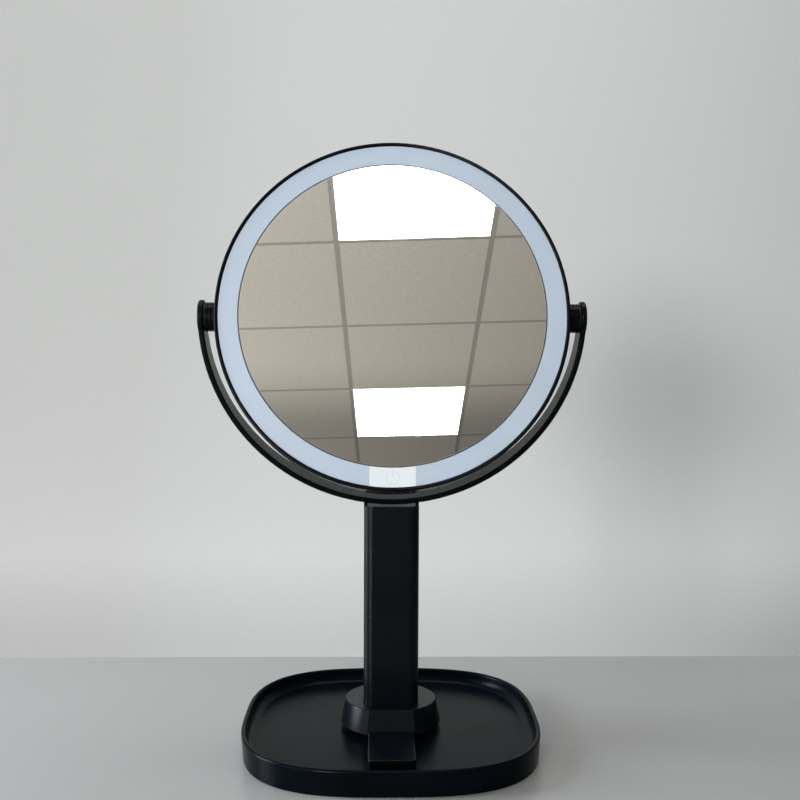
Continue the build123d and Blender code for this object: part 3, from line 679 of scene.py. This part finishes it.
class MIRROR_OT_studio(bpy.types.Operator):
    """Table, backdrop, tiled ceiling, lights and camera"""

    bl_idname = "mirror.studio"
    bl_label = "Studio"

    def execute(self, context):
        s = studio_settings()
        self.make_table(s)
        self.make_backdrop(s)
        self.make_ceiling(s)
        self.make_lights(context, s)
        self.make_camera(context, s)
        return {"FINISHED"}

    def make_table(self, s):
        top = skin_material(
            "Table Top", s.table_colour, 0.24, 0.002, 0.000003, patch_scale=4.0, tint=0.02,
            gloss_spread=0.03,
        )
        edge = s.table_edge
        profile = [(-3.0, 0.0), (edge - 0.004, 0.0), (edge - 0.001, -0.001), (edge, -0.004),
                   (edge, -0.03)]
        swept("studio_table", profile, 3.0, top)

    def make_backdrop(self, s):
        paint = skin_material(
            "Wall Paint", s.wall_colour, 0.7, 0.003, 0.0001, patch_scale=1.2, tint=0.02
        )
        profile = [(0.85, -0.9), (0.85, 2.2), (0.75, 2.5), (0.5, 2.6)]
        swept("studio_wall", profile, 4.0, paint)

    def ceiling_material(self, name, colour):
        """A painted glow standing in for the light on the tiles, falling off to the back and the
        right, with the tiles' grain.
        """
        material, tree, shader = new_material(name)
        shader.inputs["Base Color"].default_value = (0.03, 0.03, 0.03, 1.0)
        shader.inputs["Roughness"].default_value = 0.9
        place = add_node(tree, "ShaderNodeTexCoord", -900, 0)
        grain = add_node(tree, "ShaderNodeTexNoise", -700, 0, detail=5.0)
        grain.inputs["Scale"].default_value = 60.0
        tone = add_node(tree, "ShaderNodeMix", -400, 0, data_type="RGBA")
        tone.inputs["A"].default_value = rgba(colour, 0.82)
        tone.inputs["B"].default_value = rgba(colour, 1.12)
        parts = add_node(tree, "ShaderNodeSeparateXYZ", -700, -250)
        # Painted light falloff: the tiles' glow dims towards the back and towards the right.
        far = add_node(tree, "ShaderNodeMapRange", -500, -200, interpolation_type="SMOOTHSTEP")
        side = add_node(tree, "ShaderNodeMapRange", -500, -480)
        for fall, start, end, low, high in (
            (far, -4.9, -3.85, 0.46, 1.0), (side, -0.6, 0.9, 1.20, 0.60),
        ):
            fall.inputs["From Min"].default_value = start
            fall.inputs["From Max"].default_value = end
            fall.inputs["To Min"].default_value = low
            fall.inputs["To Max"].default_value = high
        both = add_node(tree, "ShaderNodeMath", -300, -300, operation="MULTIPLY")
        painted_falloff_glow = add_node(tree, "ShaderNodeVectorMath", -150, 0, operation="SCALE")
        join = tree.links.new
        join(place.outputs["Object"], grain.inputs["Vector"])
        join(place.outputs["Object"], parts.inputs["Vector"])
        join(parts.outputs["Y"], far.inputs["Value"])
        join(parts.outputs["X"], side.inputs["Value"])
        join(far.outputs["Result"], both.inputs[0])
        join(side.outputs["Result"], both.inputs[1])
        join(grain.outputs["Fac"], tone.inputs["Factor"])
        join(tone.outputs["Result"], painted_falloff_glow.inputs[0])
        join(both.outputs["Value"], painted_falloff_glow.inputs["Scale"])
        join(painted_falloff_glow.outputs["Vector"], shader.inputs["Emission Color"])
        shader.inputs["Emission Strength"].default_value = 1.12
        return material

    def make_ceiling(self, s):
        """Tiles, joints and two bright panels, laid out as the front glass shows them."""
        tile = self.ceiling_material("Ceiling Tile", s.ceiling_colour)
        joint = self.ceiling_material("Ceiling Joint", [c * 0.60 for c in s.ceiling_colour])
        panel, tree, shader = new_material("Ceiling Panel")
        shader.inputs["Base Color"].default_value = (1.0, 1.0, 1.0, 1.0)
        shader.inputs["Emission Color"].default_value = (1.0, 0.99, 0.97, 1.0)
        shader.inputs["Emission Strength"].default_value = s.panel_light
        height, row_slope, column_slope = 1.9, 0.075, -0.0155
        step_x, step_y, gap, joint_depth = 0.552, 0.705, 0.010, 0.004
        first = Vector((-0.168, -2.165))
        columns, rows = range(-4, 5), range(-2, 6)
        lit = {(0, 0), (0, 3)}

        def spot(x, y, z):
            dx, dy = x - first.x, y - first.y
            return (x + dy * column_slope, y + dx * row_slope, z)

        def card(name, x0, x1, y0, y1, z, material):
            sheet(name, [spot(x0, y0, z), spot(x0, y1, z), spot(x1, y1, z), spot(x1, y0, z)],
                  material)

        x0, x1 = (first.x + i * step_x for i in (columns.start, columns.stop))
        y0, y1 = (first.y - j * step_y for j in (rows.start, rows.stop))
        card("studio_ceiling_joints", x0, x1, y0, y1, height + joint_depth, joint)
        for i in columns:
            for j in rows:
                left, front = first.x + i * step_x, first.y - j * step_y
                card(f"studio_tile_{i - columns.start}_{j - rows.start}", left + gap,
                     left + step_x - gap, front - gap, front - step_y + gap, height,
                     panel if (i, j) in lit else tile)

    def make_lights(self, context, s):
        white, side_share = (1.0, 1.0, 1.0), 0.08
        for row in (
            ("studio_front", (-1.29, -2.92, 0.59), PIVOT, (0.55, 0.55), s.front_power,
             (1.0, 0.99, 0.97)),
            ("studio_window", (-1.2, -0.05, 0.42), (-0.5, -0.75, 0.32), (0.7, 0.8),
             s.window_power, (0.88, 0.94, 1.0)),
            ("studio_side", (-0.95, -0.85, 0.26), (0.0, 0.0, 0.1), (0.6, 0.5),
             s.window_power * side_share, (0.92, 0.96, 1.0)),
            ("studio_top", (0.0, 0.15, 1.5), (0.0, 0.0, 0.0), (1.2, 0.6), s.top_power, white),
            ("studio_wall_foot", (-0.25, 0.42, -0.60), (-0.2, 0.85, 0.1), (1.6, 0.4),
             s.wall_power, white),
        ):
            area_light(*row)
        world = bpy.data.worlds.new("Studio Air")
        world.use_nodes = True
        air = world.node_tree.nodes["Background"].inputs
        air["Color"].default_value = (0.60, 0.62, 0.64, 1.0)
        air["Strength"].default_value = 0.15
        context.scene.world = world
        context.scene.view_settings.view_transform = "Standard"

    def make_camera(self, context, s):
        lens = bpy.data.cameras.new("studio_camera")
        lens.lens = s.lens
        lens.sensor_width = 36.0
        lens.clip_start, lens.clip_end = 0.01, 50.0
        camera = bpy.data.objects.new("studio_camera", lens)
        place = Vector((-0.0082, -0.627, 0.240))
        pitch, yaw, roll = (math.radians(angle) for angle in (3.65, 1.18, 0.26))
        ahead = Vector((math.sin(yaw) * math.cos(pitch), math.cos(yaw) * math.cos(pitch),
                        -math.sin(pitch)))
        right = Vector((math.cos(yaw), -math.sin(yaw), 0.0))
        up = right.cross(ahead)
        side = right * math.cos(roll) + up * math.sin(roll)
        top = up * math.cos(roll) - right * math.sin(roll)
        turn = Matrix((side, top, -ahead)).transposed().to_4x4()
        camera.matrix_world = Matrix.Translation(place) @ turn
        context.scene.collection.objects.link(camera)
        context.scene.camera = camera


# ---- panel and registration -----------------------------------------------------------
STEPS = (
    MIRROR_OT_black_plastics,
    MIRROR_OT_mirrors,
    MIRROR_OT_light_ring,
    MIRROR_OT_touch_mark,
    MIRROR_OT_fittings,
    MIRROR_OT_studio,
)


class MIRROR_PT_sidebar(bpy.types.Panel):
    """Lists the mirror's settings and steps"""

    bl_idname = "MIRROR_PT_sidebar"
    bl_label = "Table Mirror"
    bl_space_type = "VIEW_3D"
    bl_region_type = "UI"
    bl_category = "Table Mirror"

    def draw(self, context):
        for settings in (context.scene.mirror_finish, context.scene.mirror_studio):
            box = self.layout.box()
            for key in settings.__annotations__:
                box.prop(settings, key)
        for step in STEPS:
            self.layout.operator(step.bl_idname)


CLASSES = (MirrorFinish, StudioSettings, *STEPS, MIRROR_PT_sidebar)


def register():
    for cls in CLASSES:
        bpy.utils.register_class(cls)
    bpy.types.Scene.mirror_finish = PointerProperty(type=MirrorFinish)
    bpy.types.Scene.mirror_studio = PointerProperty(type=StudioSettings)


def unregister():
    del bpy.types.Scene.mirror_studio
    del bpy.types.Scene.mirror_finish
    for cls in reversed(CLASSES):
        bpy.utils.unregister_class(cls)


def main():
    register()
    for step in STEPS:
        group, name = step.bl_idname.split(".")
        getattr(getattr(bpy.ops, group), name)()


if __name__ == "__main__":
    main()
